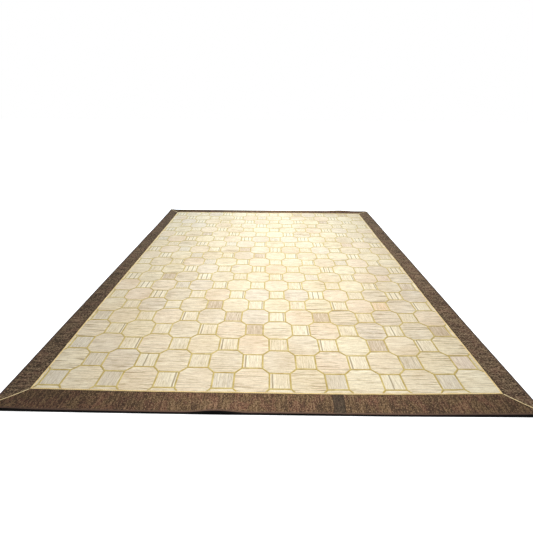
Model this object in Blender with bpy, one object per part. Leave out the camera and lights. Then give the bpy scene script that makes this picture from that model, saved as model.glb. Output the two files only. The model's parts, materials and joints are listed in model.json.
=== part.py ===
"""A patchwork kilim lying flat: a cream ground of octagons and squares inside a dark border.

Metres, +Z up. The rug lies on the floor at z = 0, with its length along Y and its front edge
towards -Y. Every piece is first drawn flat and straight, and then moved to how it lies.
"""
import math

import bmesh
import bpy
from mathutils import Vector, noise

RUG_NAME = "kilim"

# The ground: patches on a square pitch, with a little cloth left over at the front and the back
PATCH_PITCH = 0.168
COLUMNS = 16
ROWS = 21
FRONT_MARGIN = 0.05 * PATCH_PITCH
BACK_MARGIN = 0.077 * PATCH_PITCH
SQUARE_INSET = PATCH_PITCH / 8
GROUND_WIDTH = COLUMNS * PATCH_PITCH
GROUND_LENGTH = ROWS * PATCH_PITCH + FRONT_MARGIN + BACK_MARGIN
SEWN_TIGHT = 0.009
TIGHT_FROM = 0.25
TIGHT_OVER = 1.0
SEAM_X = GROUND_WIDTH / 2
SEAM_Y = GROUND_LENGTH / 2

# Cloth, yarn and cord
CLOTH = 0.004
YARN_WIDTH = 0.010
YARN_HEIGHT = 0.0012
SEAM_CORD_WIDTH = 0.0094
MITRE_CORD_WIDTH = 0.0064
GAP = 0.0003

# The border: the corners of its outer edge, and where each slanting corner seam heads for. Each
# end of the insert slants a little, so it has one place at the seam and one at the edge.
CORNER_RADIUS = 0.030
CORNER_STEPS = 6
CORNERS = (
    # name, side in x, side in y, outer x, outer y, seam heads for x, for y
    ("front_left", -1, -1, -1.490, -1.934, -1.490, -1.897),
    ("front_right", 1, -1, 1.489, -1.934, 1.489, -1.920),
    ("back_right", 1, 1, 1.500, 1.907, 1.500, 1.907),
    ("back_left", -1, 1, -1.485, 1.907, -1.485, 1.907),
)
INSERT_LEFT_X = (0.378, 0.366)
INSERT_RIGHT_X = (0.443, 0.429)

# How the rug lies: the front bows towards the viewer, the edges wave a little and lift in places
SEAM_BOW = 0.016
EDGE_BOW = 0.008
BOW_REACH = 12 * PATCH_PITCH
WAVE_SIZE = 0.006
WAVE_PER_METRE = 1.3
LIFTS = (
    # centre x, centre y, reach along x, reach along y, height
    (-0.262, -1.945, 0.185, 0.130, 0.0150),
    (-1.500, -1.945, 0.300, 0.130, 0.0100),
    (1.500, -1.945, 0.260, 0.130, 0.0050),
    (1.080, 1.915, 0.230, 0.110, 0.0095),
    (-1.490, 1.915, 0.100, 0.120, 0.0080),
)

# The rug's box is centred on the origin: this is where the drawing's origin then falls
DRAWING_ORIGIN = Vector((-0.00451, 0.01727, 0.0))

# Sections, each row a point: edge it is measured from, distance in from that edge, height
STRIP_SECTION = (
    ("outer", 0.0012, 0.0000),
    ("outer", 0.0000, 0.0030),
    ("outer", 0.0012, 0.0058),
    ("outer", 0.0045, 0.0070),
    ("outer", 0.0120, 0.0066),
    ("outer", 0.0190, 0.0042),
    ("inner", 0.0004, 0.0040),
    ("inner", 0.0000, 0.0034),
    ("inner", 0.0000, 0.0000),
)

# A cord is half round. Each row a point: share of its width across, share of its height
CORD_SECTION = (
    (1.00, 0.00),
    (1.00, 0.50),
    (0.82, 0.86),
    (0.50, 1.00),
    (0.18, 0.86),
    (0.00, 0.50),
    (0.00, 0.00),
)
SEAM_CORD_HEIGHT = 0.0054
MITRE_CORD_HEIGHTS = (
    # distance in from the rug's outer edge, height
    (0.0025, 0.0058),
    (0.0045, 0.0076),
    (0.0120, 0.0073),
    (0.0200, 0.0052),
)

COLOURS = {
    # material name: red, green, blue, roughness
    "cream_patchwork": (0.78, 0.69, 0.49, 0.92),
    "gold_cord": (0.62, 0.47, 0.19, 0.85),
    "brown_border": (0.135, 0.088, 0.055, 0.95),
    "grey_insert": (0.070, 0.058, 0.042, 0.95),
}


def clear_scene():
    """Start from an empty scene."""
    for thing in list(bpy.data.objects):
        bpy.data.objects.remove(thing, do_unlink=True)


def material(name):
    """A cloth material of one colour."""
    red, green, blue, roughness = COLOURS[name]
    cloth = bpy.data.materials.get(name)
    if cloth is None:
        cloth = bpy.data.materials.new(name)
        cloth.use_nodes = True
        surface = cloth.node_tree.nodes["Principled BSDF"]
        surface.inputs["Base Color"].default_value = (red, green, blue, 1.0)
        surface.inputs["Roughness"].default_value = roughness
        surface.inputs["Metallic"].default_value = 0.0
        cloth.diffuse_color = (red, green, blue, 1.0)
    return cloth


def lift_at(x, y):
    """How far the cloth stands off the floor, as the sum of a few soft waves at the edges."""
    height = 0.0
    for centre_x, centre_y, reach_x, reach_y, top in LIFTS:
        along = abs(x - centre_x) / reach_x
        inward = abs(y - centre_y) / reach_y
        if along < 1.0 and inward < 1.0:
            height += top * math.cos(math.pi * along / 2) ** 2 * math.cos(math.pi * inward / 2) ** 2
    return height


def bow_at(x, y):
    """How far a point has crept towards the viewer, most of all at the middle of the front seam."""
    middle = max(0.0, 1.0 - (x / SEAM_X) ** 2)
    past_seam = (-SEAM_Y - y) / (-CORNERS[0][4] - SEAM_Y)
    if past_seam > 0.0:
        amount = SEAM_BOW + (EDGE_BOW - SEAM_BOW) * min(1.0, past_seam)
    else:
        amount = SEAM_BOW * max(0.0, 1.0 - (y + SEAM_Y) / BOW_REACH) ** 2
    return middle * amount


def lie_by_hand(point):
    """Move a point of the flat drawing to where it lies."""
    x, y, z = point
    across = x * WAVE_PER_METRE
    along = y * WAVE_PER_METRE
    wave_x = noise.noise(Vector((across, along, 4.2))) * WAVE_SIZE
    wave_y = noise.noise(Vector((across, along, 9.7))) * WAVE_SIZE
    laid = Vector((x + wave_x, y + wave_y - bow_at(x, y), z + lift_at(x, y)))
    return laid + DRAWING_ORIGIN


def finish_piece(name, body, material_name):
    """Lay the drawn body down, and make it one named object."""
    for vertex in body.verts:
        vertex.co = lie_by_hand(vertex.co)
    bmesh.ops.recalc_face_normals(body, faces=body.faces[:])
    mesh = bpy.data.meshes.new(name)
    body.to_mesh(mesh)
    body.free()
    mesh.materials.append(material(material_name))
    piece = bpy.data.objects.new(name, mesh)
    bpy.data.collections[RUG_NAME].objects.link(piece)
    return piece


def is_square_cell(centre):
    """True where a small square is sewn: every other cell of the grid, from the front left corner."""
    column = math.floor((centre.x + GROUND_WIDTH / 2) / PATCH_PITCH)
    row = math.floor((centre.y + ROWS * PATCH_PITCH / 2) / PATCH_PITCH)
    return (column + row) % 2 == 0


def draw_joins():
    """Faces for all the patches: every other cell shrinks to a square, the rest grow to octagons."""
    sheet = bmesh.new()
    bmesh.ops.create_grid(sheet, x_segments=COLUMNS, y_segments=ROWS, size=0.5)
    bmesh.ops.scale(sheet, vec=(GROUND_WIDTH, ROWS * PATCH_PITCH, 1.0), verts=sheet.verts[:])
    squares = [face for face in sheet.faces if is_square_cell(face.calc_center_median())]
    grid_lines = [edge for edge in sheet.edges if not edge.is_boundary]
    crossings = [vertex for vertex in sheet.verts if not vertex.is_boundary]
    bmesh.ops.inset_individual(sheet, faces=squares, thickness=SQUARE_INSET, use_even_offset=True)
    bmesh.ops.dissolve_edges(sheet, edges=grid_lines, use_verts=False)
    bmesh.ops.dissolve_verts(sheet, verts=crossings)
    return sheet


def sewn_x(x):
    """Where a join really falls: the columns at the right were sewn a little tight."""
    share = min(1.0, max(0.0, (x - TIGHT_FROM) / TIGHT_OVER))
    return x - SEWN_TIGHT * share * share * (3 - 2 * share)


def fit_to_seams(sheet):
    """Move the rows to their place, and the rim to just inside the cords along the seams."""
    rim = [vertex for vertex in sheet.verts if vertex.is_boundary]
    side = SEAM_X - SEAM_CORD_WIDTH / 2 - GAP
    end = SEAM_Y - SEAM_CORD_WIDTH / 2 - GAP
    half_rows = ROWS * PATCH_PITCH / 2
    at_side = [vertex for vertex in rim if abs(abs(vertex.co.x) - SEAM_X) < 0.001]
    at_end = [vertex for vertex in rim if abs(abs(vertex.co.y) - half_rows) < 0.001]
    bmesh.ops.translate(sheet, verts=sheet.verts[:], vec=(0, FRONT_MARGIN - SEAM_Y + half_rows, CLOTH))
    for vertex in sheet.verts:
        vertex.co.x = sewn_x(vertex.co.x)
    for vertex in at_side:
        vertex.co.x = math.copysign(side, vertex.co.x)
    for vertex in at_end:
        vertex.co.y = math.copysign(end, vertex.co.y)
    at_front = []
    elsewhere = []
    for edge in sheet.edges:
        if edge.is_boundary:
            if all(abs(vertex.co.y + end) < 0.001 for vertex in edge.verts):
                at_front.append(edge)
            else:
                elsewhere.append(edge)
    bmesh.ops.bisect_edges(sheet, edges=at_front, cuts=3)
    bmesh.ops.bisect_edges(sheet, edges=elsewhere, cuts=1)


def build_field():
    """The pieced ground as one cloth, with the yarn over every join raised in its face."""
    sheet = draw_joins()
    fit_to_seams(sheet)
    joins = [vertex for vertex in sheet.verts if not vertex.is_boundary]
    bmesh.ops.inset_individual(sheet, faces=sheet.faces[:], thickness=YARN_WIDTH / 2,
                               use_even_offset=True)
    for vertex in joins:
        vertex.co.z += YARN_HEIGHT
    rim = [edge for edge in sheet.edges if edge.is_boundary]
    walls = bmesh.ops.extrude_edge_only(sheet, edges=rim)["geom"]
    for vertex in walls:
        if isinstance(vertex, bmesh.types.BMVert):
            vertex.co.z = 0.0
    underside = [edge for edge in sheet.edges if edge.is_boundary]
    bmesh.ops.edgeloop_fill(sheet, edges=underside)
    return finish_piece("field", sheet, "cream_patchwork")


def draw_outline():
    """The outer edge as a closed run of points, anticlockwise, with its corners rounded."""
    points = []
    for index, corner in enumerate(CORNERS):
        here = Vector(corner[3:5])
        back = (Vector(CORNERS[index - 1][3:5]) - here).normalized()
        ahead = (Vector(CORNERS[(index + 1) % 4][3:5]) - here).normalized()
        for step in range(CORNER_STEPS + 1):
            turn = math.pi / 2 * step / CORNER_STEPS
            offset = back * (1 - math.sin(turn)) + ahead * (1 - math.cos(turn))
            points.append(here + offset * CORNER_RADIUS)
    return points


def meet(point, direction, start, end):
    """Where a line from a point meets a segment, as its distance and the share of the segment."""
    run = end - start
    cross = direction.x * run.y - direction.y * run.x
    if abs(cross) < 1e-12:
        return None
    gap = start - point
    distance = (gap.x * run.y - gap.y * run.x) / cross
    share = (gap.x * direction.y - gap.y * direction.x) / cross
    return distance, share


def reach_outline(outline, point, direction):
    """The place on the outer edge that a line from a point reaches: its index, share and point."""
    for index, start in enumerate(outline):
        end = outline[(index + 1) % len(outline)]
        found = meet(point, direction, start, end)
        if found and found[0] > 0.0 and 0.0 <= found[1] < 1.0:
            return index, found[1], start.lerp(end, found[1])
    raise ValueError("the line misses the outer edge")


def follow_outline(outline, first, last):
    """The points of the outer edge from one place on it to another."""
    points = [first[2]]
    index = first[0]
    while index != last[0]:
        index = (index + 1) % len(outline)
        points.append(outline[index])
    points.append(last[2])
    kept = [points[0]]
    for point in points[1:]:
        if (point - kept[-1]).length > 0.0005:
            kept.append(point)
    return kept


def share_out(start, end, guide):
    """Points on a straight run, spaced in proportion to the points of a guide beside it."""
    lengths = [0.0]
    for near, far in zip(guide, guide[1:]):
        lengths.append(lengths[-1] + (far - near).length)
    return [start.lerp(end, length / lengths[-1]) for length in lengths]


def side_line(side, offset):
    """A line along one seam at an offset outwards: a point on it, its direction and outwards."""
    out = {"front": Vector((0, -1)), "right": Vector((1, 0)),
           "back": Vector((0, 1)), "left": Vector((-1, 0))}[side]
    ahead = Vector((-out.y, out.x))
    middle = Vector((out.x * (SEAM_X + offset), out.y * (SEAM_Y + offset)))
    return middle, ahead, out


def seam_stations(side):
    """Distances from the middle of a side where its pieces have a section."""
    half = SEAM_X if side in ("front", "back") else SEAM_Y
    step = PATCH_PITCH / 4 if side == "front" else PATCH_PITCH / 2
    origin = 0.0 if side in ("front", "back") else FRONT_MARGIN - SEAM_Y
    if side == "left":
        origin = -origin
    count = int(2 * half / step)
    places = [origin + step * number for number in range(-count, count + 1)]
    return [place for place in places if abs(place) < half - 0.06]


def cut_line(corner, shift):
    """A corner's slanting seam, shifted sideways, as a point and a direction outwards."""
    start = Vector((corner[1] * SEAM_X, corner[2] * SEAM_Y))
    direction = (Vector(corner[5:7]) - start).normalized()
    return start + Vector((-direction.y, direction.x)) * shift, direction


def corner_cut(corner, shift):
    """A cut straight across a corner of the seams, shifted sideways."""
    start = Vector((corner[1] * SEAM_X, corner[2] * SEAM_Y))
    direction = Vector((corner[1], corner[2])).normalized()
    return start + Vector((-direction.y, direction.x)) * shift, direction


def insert_cut(places, shift):
    """A cut through the front strip, from its place at the seam to its place at the edge."""
    start = Vector((places[0], -SEAM_Y))
    end = Vector((places[1], CORNERS[0][4]))
    return start + Vector((shift, 0)), (end - start).normalized()


def on_side(side, offset, cut):
    """Where a cut crosses the line along a side."""
    middle, ahead, out = side_line(side, offset)
    distance, share = meet(cut[0], cut[1], middle, middle + ahead)
    return cut[0] + cut[1] * distance


def sweep(name, inner, outer, ring_at, material_name):
    """Push a section along the space between two edges, and leave it closed at both ends."""
    body = bmesh.new()
    slot = body.verts.layers.int.new("slot")
    ring = ring_at(0)
    corners = [body.verts.new(point) for point in ring]
    for number, vertex in enumerate(corners):
        vertex[slot] = number
    start_face = body.faces.new(corners)
    grown = bmesh.ops.extrude_face_region(body, geom=[start_face])["geom"]
    end_face = [item for item in grown if isinstance(item, bmesh.types.BMFace)][0]
    for station in range(1, len(inner)):
        if station > 1:
            end_face = bmesh.ops.extrude_discrete_faces(body, faces=[end_face])["faces"][0]
        ring = ring_at(station)
        for vertex in end_face.verts:
            vertex.co = ring[vertex[slot]]
    return finish_piece(name, body, material_name)


def build_strip(name, side, start_cut, end_cut, outline, material_name):
    """One border strip, from the seam cord out to the rug's edge, between two cuts."""
    offset = SEAM_CORD_WIDTH / 2 + GAP
    middle, ahead, out = side_line(side, offset)
    start = on_side(side, offset, start_cut)
    end = on_side(side, offset, end_cut)
    first_along = (start - middle).dot(ahead)
    last_along = (end - middle).dot(ahead)
    places = [place for place in seam_stations(side)
              if first_along + 0.02 < place < last_along - 0.02]
    if places:
        near = middle + ahead * places[0]
        far = middle + ahead * places[-1]
    else:
        near = far = (start + end) / 2
    first_turn = follow_outline(outline, reach_outline(outline, start, start_cut[1]),
                                reach_outline(outline, near, out))
    last_turn = follow_outline(outline, reach_outline(outline, far, out),
                               reach_outline(outline, end, end_cut[1]))
    between = [middle + ahead * place for place in places[1:-1]]
    inner = share_out(start, near, first_turn) + between
    outer = first_turn + [reach_outline(outline, point, out)[2] for point in between]
    if len(places) > 1:
        inner += share_out(far, end, last_turn)
        outer += last_turn
    else:
        inner += share_out(far, end, last_turn)[1:]
        outer += last_turn[1:]

    def ring_at(station):
        inside = inner[station]
        outside = outer[station]
        inward = (inside - outside).normalized()
        ring = []
        for edge, distance, height in STRIP_SECTION:
            if edge == "outer":
                spot = outside + inward * distance
            else:
                spot = inside - inward * distance
            ring.append(Vector((spot.x, spot.y, height)))
        return ring

    return sweep(name, inner, outer, ring_at, material_name)


def cord_ring(inside, outside, height):
    """The half-round section of a cord between two points on the floor."""
    ring = []
    for across, tall in CORD_SECTION:
        spot = inside.lerp(outside, across)
        ring.append(Vector((spot.x, spot.y, tall * height)))
    return ring


def build_seam_cord(side, start_cut, end_cut):
    """The cord along one side of the ground, cut slanting at both ends."""
    half = SEAM_CORD_WIDTH / 2
    rows = []
    for offset in (-half, half):
        middle, ahead, out = side_line(side, offset)
        row = [on_side(side, offset, start_cut)]
        row += [middle + ahead * place for place in seam_stations(side)]
        row += [on_side(side, offset, end_cut)]
        rows.append(row)
    inner, outer = rows

    def ring_at(station):
        return cord_ring(inner[station], outer[station], SEAM_CORD_HEIGHT)

    return sweep("seam_cord_" + side, inner, outer, ring_at, "gold_cord")


def build_mitre_cord(corner, outline):
    """The cord along a corner's slanting seam, from the seam cords to the rug's outer edge."""
    start, direction = cut_line(corner, 0.0)
    tip = SEAM_CORD_WIDTH / 2 * math.sqrt(2) + GAP * 1.5
    edge = (reach_outline(outline, start, direction)[2] - start).length
    stations = [(edge - inset, height) for inset, height in reversed(MITRE_CORD_HEIGHTS)]
    plain_height = MITRE_CORD_HEIGHTS[-1][1]
    stations = [(tip, plain_height), ((tip + stations[0][0]) / 2, plain_height)] + stations
    sideways = Vector((-direction.y, direction.x)) * (MITRE_CORD_WIDTH / 2)
    inner = [start + direction * distance - sideways for distance, height in stations]
    outer = [start + direction * distance + sideways for distance, height in stations]

    def ring_at(station):
        return cord_ring(inner[station], outer[station], stations[station][1])

    return sweep("mitre_cord_" + corner[0], inner, outer, ring_at, "gold_cord")


def build_border(outline):
    """The strips on all four sides. The front one is in three lengths."""
    front_left, front_right, back_right, back_left = CORNERS
    aside = MITRE_CORD_WIDTH / 2 + GAP
    part = GAP / 2
    build_strip("border_front_left", "front", cut_line(front_left, aside),
                insert_cut(INSERT_LEFT_X, -part), outline, "brown_border")
    build_strip("border_insert", "front", insert_cut(INSERT_LEFT_X, part),
                insert_cut(INSERT_RIGHT_X, -part), outline, "grey_insert")
    build_strip("border_front_right", "front", insert_cut(INSERT_RIGHT_X, part),
                cut_line(front_right, -aside), outline, "brown_border")
    build_strip("border_right", "right", cut_line(front_right, aside),
                cut_line(back_right, -aside), outline, "brown_border")
    build_strip("border_back", "back", cut_line(back_right, aside),
                cut_line(back_left, -aside), outline, "brown_border")
    build_strip("border_left", "left", cut_line(back_left, aside),
                cut_line(front_left, -aside), outline, "brown_border")


def build_cords(outline):
    """The cords along the seams of the ground and along the corner seams."""
    front_left, front_right, back_right, back_left = CORNERS
    aside = GAP / 2
    build_seam_cord("front", corner_cut(front_left, aside), corner_cut(front_right, -aside))
    build_seam_cord("right", corner_cut(front_right, aside), corner_cut(back_right, -aside))
    build_seam_cord("back", corner_cut(back_right, aside), corner_cut(back_left, -aside))
    build_seam_cord("left", corner_cut(back_left, aside), corner_cut(front_left, -aside))
    for corner in CORNERS:
        build_mitre_cord(corner, outline)


def main():
    clear_scene()
    rug = bpy.data.collections.new(RUG_NAME)
    bpy.context.scene.collection.children.link(rug)
    outline = draw_outline()
    build_field()
    build_border(outline)
    build_cords(outline)


main()
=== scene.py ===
# %% [markdown]
# # A patchwork kilim on the floor
#
# A kilim is a rug woven flat, with no pile. This one is pieced like a quilt: large octagons and
# small squares are cut from old cream cloth and sewn edge to edge, and mustard yarn is worked over
# every join. A dark brown border is sewn round the ground, with a cord over each seam.
#
# The solids of the model come first. They say where every piece lies, and each piece made below
# takes the place of one of them with finer cloth, yarn and colour.

# %% Load the solids
import json
import math
import random

import bmesh
import bpy
from mathutils import Matrix, Vector, noise

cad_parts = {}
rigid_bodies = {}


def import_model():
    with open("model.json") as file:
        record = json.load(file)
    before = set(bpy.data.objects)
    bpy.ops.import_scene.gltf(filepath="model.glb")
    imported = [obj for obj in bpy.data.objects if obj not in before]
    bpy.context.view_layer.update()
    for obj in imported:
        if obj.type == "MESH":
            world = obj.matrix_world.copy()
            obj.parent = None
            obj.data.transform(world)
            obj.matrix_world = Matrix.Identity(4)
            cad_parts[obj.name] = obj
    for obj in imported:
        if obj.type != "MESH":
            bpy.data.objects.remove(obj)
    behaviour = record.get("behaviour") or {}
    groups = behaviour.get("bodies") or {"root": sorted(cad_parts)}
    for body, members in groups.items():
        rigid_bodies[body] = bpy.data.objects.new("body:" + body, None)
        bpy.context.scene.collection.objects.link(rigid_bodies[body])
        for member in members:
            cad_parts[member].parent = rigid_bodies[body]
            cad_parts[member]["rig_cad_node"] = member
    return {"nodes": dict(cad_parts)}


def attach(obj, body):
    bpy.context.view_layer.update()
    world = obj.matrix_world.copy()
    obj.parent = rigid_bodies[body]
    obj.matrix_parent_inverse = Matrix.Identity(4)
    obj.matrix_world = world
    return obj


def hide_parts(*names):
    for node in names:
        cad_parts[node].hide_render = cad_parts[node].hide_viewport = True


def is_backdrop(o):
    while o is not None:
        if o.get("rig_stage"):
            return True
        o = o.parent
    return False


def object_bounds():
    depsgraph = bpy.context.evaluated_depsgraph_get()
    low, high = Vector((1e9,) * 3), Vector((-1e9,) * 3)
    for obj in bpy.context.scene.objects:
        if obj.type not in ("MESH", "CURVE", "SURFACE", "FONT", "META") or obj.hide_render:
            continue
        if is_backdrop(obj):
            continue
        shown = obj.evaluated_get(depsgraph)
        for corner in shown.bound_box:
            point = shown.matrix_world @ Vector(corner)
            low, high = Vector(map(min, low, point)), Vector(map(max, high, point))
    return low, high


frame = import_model()
solid_low, solid_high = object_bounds()
print("solids:", sorted(frame["nodes"]))
print("box of the solids:", tuple(solid_low), tuple(solid_high))

# %% [markdown]
# ## The camera
#
# The picture is taken by someone standing in front of the rug with a wide lens, so the front edge
# looks far longer than the back one. A camera is turned in three steps, each about one axis: down
# towards the floor, a little to the left, and a slight lean. Multiplying three rotation matrices
# keeps the steps apart, so each can be read and changed by itself.

# %% Place the camera
PICTURE_WIDTH = 533
SENSOR = 36.0
FOCAL_PIXELS = 349.05
CAMERA_PLACE = (0.0042, -3.2583, 1.4905)
LOOKS_DOWN = math.radians(25.130)
LOOKS_LEFT = math.radians(0.321)
LEANS = math.radians(0.435)

camera_turn = Matrix.Rotation(LOOKS_LEFT, 3, "Z")
camera_turn = camera_turn @ Matrix.Rotation(math.pi / 2 - LOOKS_DOWN, 3, "X")
camera_turn = camera_turn @ Matrix.Rotation(LEANS, 3, "Z")
bpy.ops.object.select_all(action="DESELECT")
bpy.ops.object.camera_add(location=CAMERA_PLACE, rotation=camera_turn.to_euler())
camera = bpy.context.object
camera.name = "standing_view"
camera.data.sensor_width = SENSOR
camera.data.lens = SENSOR * FOCAL_PIXELS / PICTURE_WIDTH
bpy.context.scene.camera = camera
print("lens, in millimetres:", round(camera.data.lens, 2))

# %% [markdown]
# ## The floor and the light
#
# The floor is plain and nearly white. It glows a little by itself, so that it stays pale out to
# the corners of the picture, where the lamps no longer reach. Under the rug and in a thin band just
# past its edge it is painted near black and does not glow, a painted shadow where no light gets
# under the rug. A long lamp hangs over the middle of the rug and a broad one over its far end, and
# a pale sky fills in, so the ground is brightest along the middle and falls off to both sides.
#
# The small helpers come first because the floor is the first thing with a recipe of its own: a
# shader is a chain of nodes, and each helper adds one node and gives back what it reckons.

# %% Helpers for shader nodes
def node(tree, kind, sockets=(), **settings):
    """A new node, with its settings and with values or links in its sockets."""
    made = tree.nodes.new(kind)
    for name, value in settings.items():
        setattr(made, name, value)
    for name, value in dict(sockets).items():
        if isinstance(value, bpy.types.NodeSocket):
            tree.links.new(value, made.inputs[name])
        elif hasattr(value, "__len__") and len(value) == 3 and made.inputs[name].type == "RGBA":
            made.inputs[name].default_value = (*value, 1.0)
        else:
            made.inputs[name].default_value = value
    return made


def reckon(tree, operation, *values):
    """The result of one sum on numbers or sockets."""
    return node(tree, "ShaderNodeMath", enumerate(values), operation=operation).outputs[0]


def span(tree, value, low, high, start=0.0, end=1.0):
    """A soft step from start to end as the value goes from low to high."""
    sockets = {"Value": value, "From Min": low, "From Max": high, "To Min": start, "To Max": end}
    return node(tree, "ShaderNodeMapRange", sockets, interpolation_type="SMOOTHSTEP").outputs[0]


def mixed(tree, share, first, second, blend="MIX"):
    """A blend of two colours."""
    return node(tree, "ShaderNodeMix", {0: share, 6: first, 7: second}, data_type="RGBA",
                blend_type=blend).outputs[2]


def own_place(tree):
    """Where a point lies on its own piece, in metres."""
    return node(tree, "ShaderNodeTexCoord").outputs["Object"]


# %% Lay the floor
FLOOR_GLOW = 0.75
FLOOR_PALE = (0.9, 0.9, 0.9)
# Painted shadow: the near-black colour of the floor under the rug and just past its edge
FLOOR_PAINTED_SHADOW = (0.006, 0.005, 0.004)
FRONT_EDGE = 1.9175
FRONT_BOW = 0.008
LEFT_EDGE = 1.491
RIGHT_EDGE = 1.483
CORNER_RADIUS = 0.030
bpy.ops.object.select_all(action="DESELECT")
bpy.ops.mesh.primitive_plane_add(size=60, location=(0, 0, -0.0004))
floor = bpy.context.object
floor.name = "floor"
paint = bpy.data.materials.new("pale_floor")
paint.use_nodes = True
tree = paint.node_tree
surface = tree.nodes["Principled BSDF"]
surface.inputs["Roughness"].default_value = 0.9
surface.inputs["Emission Color"].default_value = (1.0, 1.0, 1.0, 1.0)

# How far a place on the floor is outside the rug, whose front edge bows towards the viewer and
# whose corners are round
place = node(tree, "ShaderNodeSeparateXYZ", {"Vector": own_place(tree)}).outputs
sideways = reckon(tree, "ABSOLUTE", place["X"])
share = reckon(tree, "POWER", reckon(tree, "DIVIDE", sideways, solid_high.x), 2.0)
bow = reckon(tree, "MULTIPLY_ADD", share, -FRONT_BOW, FRONT_EDGE + FRONT_BOW)
in_front = reckon(tree, "MULTIPLY_ADD", place["Y"], -1.0, reckon(tree, "MULTIPLY", bow, -1.0))
behind = reckon(tree, "SUBTRACT", place["Y"], solid_high.y)
beside = reckon(tree, "MAXIMUM", reckon(tree, "SUBTRACT", place["X"], RIGHT_EDGE),
                reckon(tree, "MULTIPLY_ADD", place["X"], -1.0, -LEFT_EDGE))
past_x = reckon(tree, "ADD", beside, CORNER_RADIUS)
past_y = reckon(tree, "ADD", reckon(tree, "MAXIMUM", in_front, behind), CORNER_RADIUS)
inside = reckon(tree, "MINIMUM", reckon(tree, "MAXIMUM", past_x, past_y), 0.0)
squares = [reckon(tree, "POWER", reckon(tree, "MAXIMUM", past, 0.0), 2.0) for past in (past_x, past_y)]
from_centre = reckon(tree, "SQRT", reckon(tree, "ADD", *squares))
outside = reckon(tree, "ADD", reckon(tree, "SUBTRACT", from_centre, CORNER_RADIUS), inside)
# Painted shadow: inside the rug's outline and for a few millimetres past it, the floor is near black
# and does not glow
open_floor = span(tree, outside, -0.001, 0.004)
tree.links.new(mixed(tree, open_floor, FLOOR_PAINTED_SHADOW, FLOOR_PALE), surface.inputs["Base Color"])
tree.links.new(reckon(tree, "MULTIPLY", open_floor, FLOOR_GLOW), surface.inputs["Emission Strength"])
floor.data.materials.append(paint)
floor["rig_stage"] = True
print("floor nodes:", len(tree.nodes))

# %% Hang the lamps and paint the sky
LAMPS = (
    # name, place, width, length, watts, colour
    ("long_lamp", (0.15, 0.05, 2.05), 0.5, 4.9, 89.0, (0.99, 1.0, 1.01)),
    ("far_lamp", (-0.35, 2.35, 2.6), 2.0, 2.0, 34.0, (0.70, 1.0, 1.30)),
)
for lamp_name, lamp_place, lamp_width, lamp_length, watts, lamp_colour in LAMPS:
    bpy.ops.object.select_all(action="DESELECT")
    bpy.ops.object.light_add(type="AREA", location=lamp_place)
    lamp = bpy.context.object
    lamp.name = lamp_name
    lamp.data.shape = "RECTANGLE"
    lamp.data.size = lamp_width
    lamp.data.size_y = lamp_length
    lamp.data.energy = watts
    lamp.data.color = lamp_colour
    lamp.visible_camera = False

SKY_FOR_THE_RUG = 0.385
SKY_BEHIND = 1.0
sky = bpy.data.worlds.new("pale_sky")
bpy.context.scene.world = sky
sky.use_nodes = True
sky_light = sky.node_tree.nodes["Background"]
sky_light.inputs["Color"].default_value = (1.0, 1.0, 1.0, 1.0)
seen = node(sky.node_tree, "ShaderNodeLightPath").outputs["Is Camera Ray"]
strength = node(sky.node_tree, "ShaderNodeMapRange",
                {"Value": seen, "To Min": SKY_FOR_THE_RUG, "To Max": SKY_BEHIND})
sky.node_tree.links.new(strength.outputs["Result"], sky_light.inputs["Strength"])
bpy.context.scene.view_settings.view_transform = "Standard"
print("lamps:", [lamp_row[0] for lamp_row in LAMPS])

# %% [markdown]
# ## How the rug lies
#
# Cloth is never dead straight. The front of the rug has crept a little towards the viewer, its
# edges wander by a few millimetres, and in five places the edge stands off the floor in a low
# soft wave. One function does all of this to one point. Every piece is drawn flat and straight,
# and then each of its points goes through that same function, so neighbours stay neighbours and
# no gap opens between them.

# %% Sizes of the rug
PATCH_PITCH = 0.168
COLUMNS = 16
ROWS = 21
FRONT_MARGIN = 0.05 * PATCH_PITCH
BACK_MARGIN = 0.077 * PATCH_PITCH
SQUARE_INSET = PATCH_PITCH / 8
SEAM_X = COLUMNS * PATCH_PITCH / 2
SEAM_Y = (ROWS * PATCH_PITCH + FRONT_MARGIN + BACK_MARGIN) / 2
CLOTH = 0.004
SEAM_CORD_WIDTH = 0.0094
MITRE_CORD_WIDTH = 0.0064
GAP = 0.0003
CORNERS = (
    # name, side in x, side in y, outer x, outer y, seam heads for x, for y
    ("front_left", -1, -1, -1.490, -1.934, -1.490, -1.897),
    ("front_right", 1, -1, 1.489, -1.934, 1.489, -1.920),
    ("back_right", 1, 1, 1.500, 1.907, 1.500, 1.907),
    ("back_left", -1, 1, -1.485, 1.907, -1.485, 1.907),
)
print("ground:", round(2 * SEAM_X, 3), "by", round(2 * SEAM_Y, 3), "metres")

# %% One function lays every point down
SEAM_BOW = 0.016
EDGE_BOW = 0.008
BOW_REACH = 12 * PATCH_PITCH
WAVE_SIZE = 0.006
WAVE_PER_METRE = 1.3
LIFTS = (
    # centre x, centre y, reach along x, reach along y, height
    (-0.262, -1.945, 0.185, 0.130, 0.0150),
    (-1.500, -1.945, 0.300, 0.130, 0.0100),
    (1.500, -1.945, 0.260, 0.130, 0.0050),
    (1.080, 1.915, 0.230, 0.110, 0.0095),
    (-1.490, 1.915, 0.100, 0.120, 0.0080),
)
DRAWING_ORIGIN = Vector((-0.00451, 0.01727, 0.0))


def lift_at(x, y):
    """How far the cloth stands off the floor, as the sum of a few soft waves at the edges."""
    height = 0.0
    for centre_x, centre_y, reach_x, reach_y, top in LIFTS:
        along = abs(x - centre_x) / reach_x
        inward = abs(y - centre_y) / reach_y
        if along < 1.0 and inward < 1.0:
            height += top * math.cos(math.pi * along / 2) ** 2 * math.cos(math.pi * inward / 2) ** 2
    return height


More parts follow.
